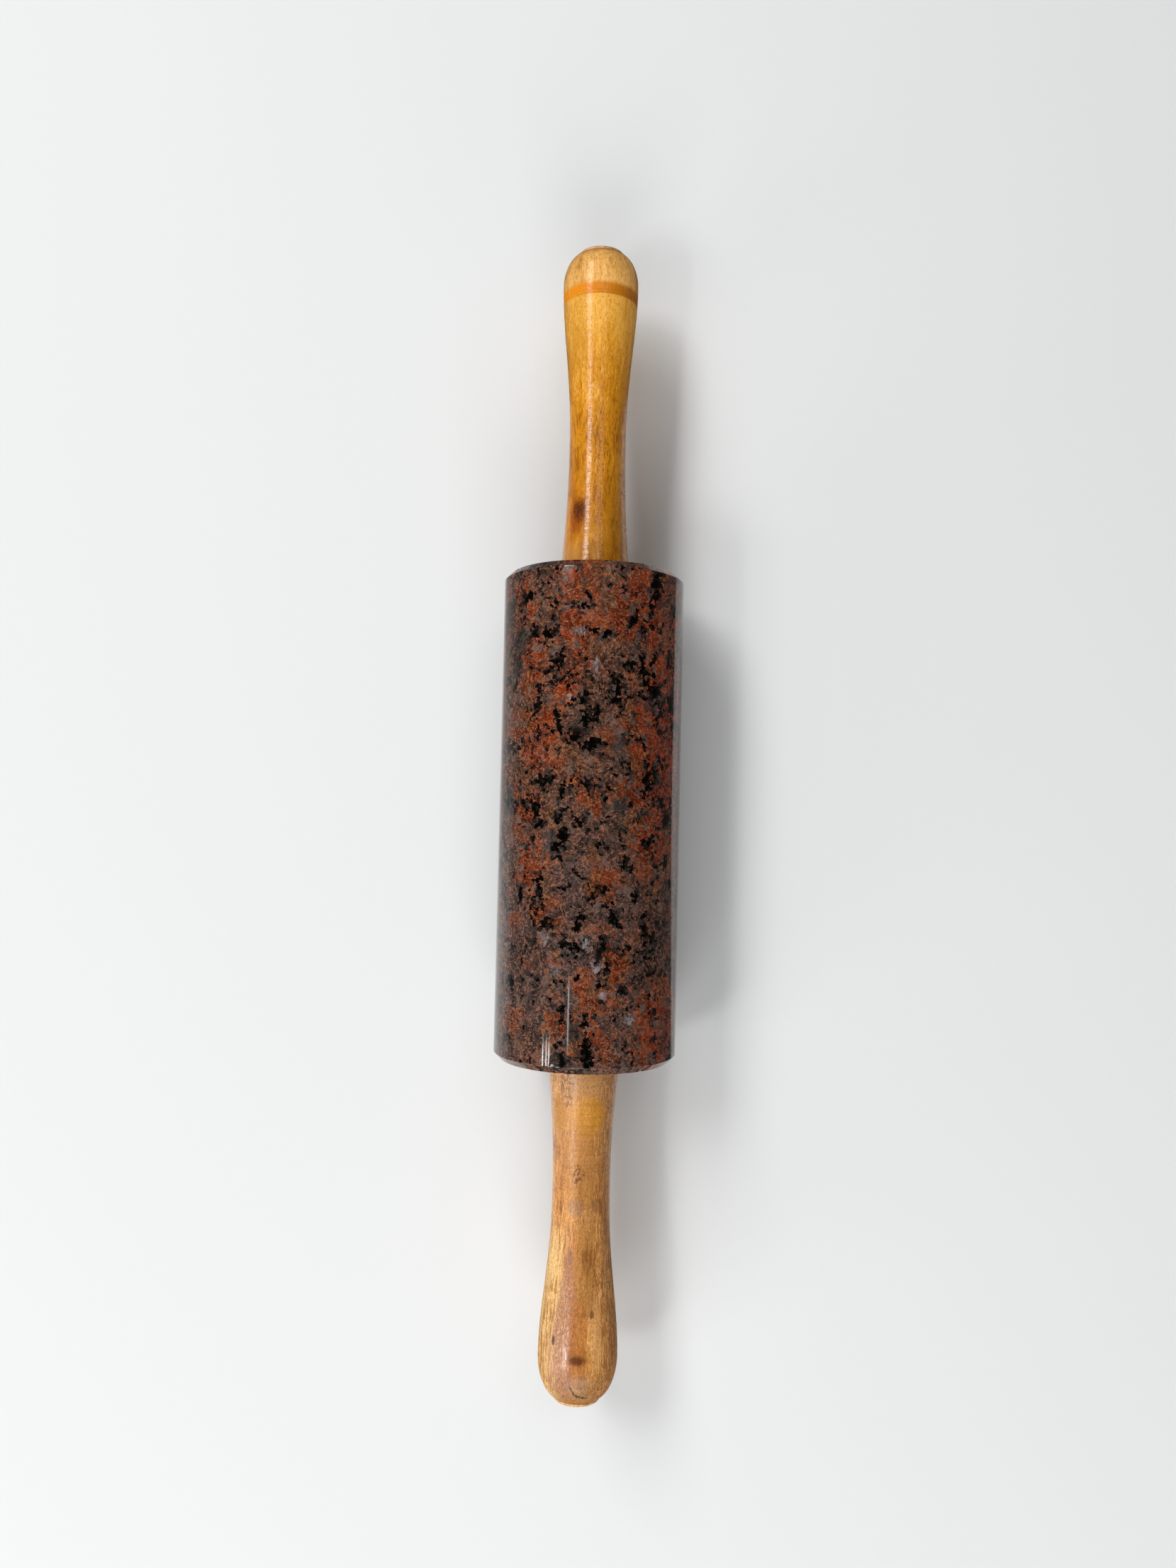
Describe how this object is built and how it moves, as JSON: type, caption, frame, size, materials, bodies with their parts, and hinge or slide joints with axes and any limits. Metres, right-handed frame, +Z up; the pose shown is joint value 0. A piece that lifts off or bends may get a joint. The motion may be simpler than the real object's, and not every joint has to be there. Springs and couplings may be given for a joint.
{
  "type": "granite rolling pin",
  "caption": "Rolling pin with a heavy polished granite barrel that spins freely on a steel axle between turned wooden handles.",
  "frame": {"origin": "on the surface that the pin lies on, under the middle of the granite barrel", "axes": "+Y along the axle towards the rear handle, +Z up, +X to the right when looking towards the rear handle"},
  "size_m": [0.06, 0.381, 0.06],
  "materials": {
    "granite": "polished red-brown granite with black clusters and grey patches",
    "front_wood": "satin tan varnish",
    "rear_wood": "glossy amber varnish",
    "plug_wood": "satin pale varnish",
    "nylon": "natural off-white nylon",
    "steel": "bright zinc-plated steel"
  },
  "bodies": {
    "barrel": {"granite_barrel": "granite", "front_bush": "nylon", "rear_bush": "nylon"},
    "handle_set": {"axle_rod": "steel", "front_thrust_washer": "steel", "rear_thrust_washer": "steel", "front_handle": "front_wood", "rear_handle": "rear_wood", "front_nut_washer": "steel", "rear_nut_washer": "steel", "front_lock_nut": "steel", "rear_lock_nut": "steel", "front_end_plug": "plug_wood", "rear_end_plug": "plug_wood"}
  },
  "joints": [
    {"name": "barrel_spin", "type": "hinge", "parent": "barrel", "child": "handle_set", "pos_m": [0, 0, 0.03], "axis": [0, 1, 0], "continuous": true}
  ]
}
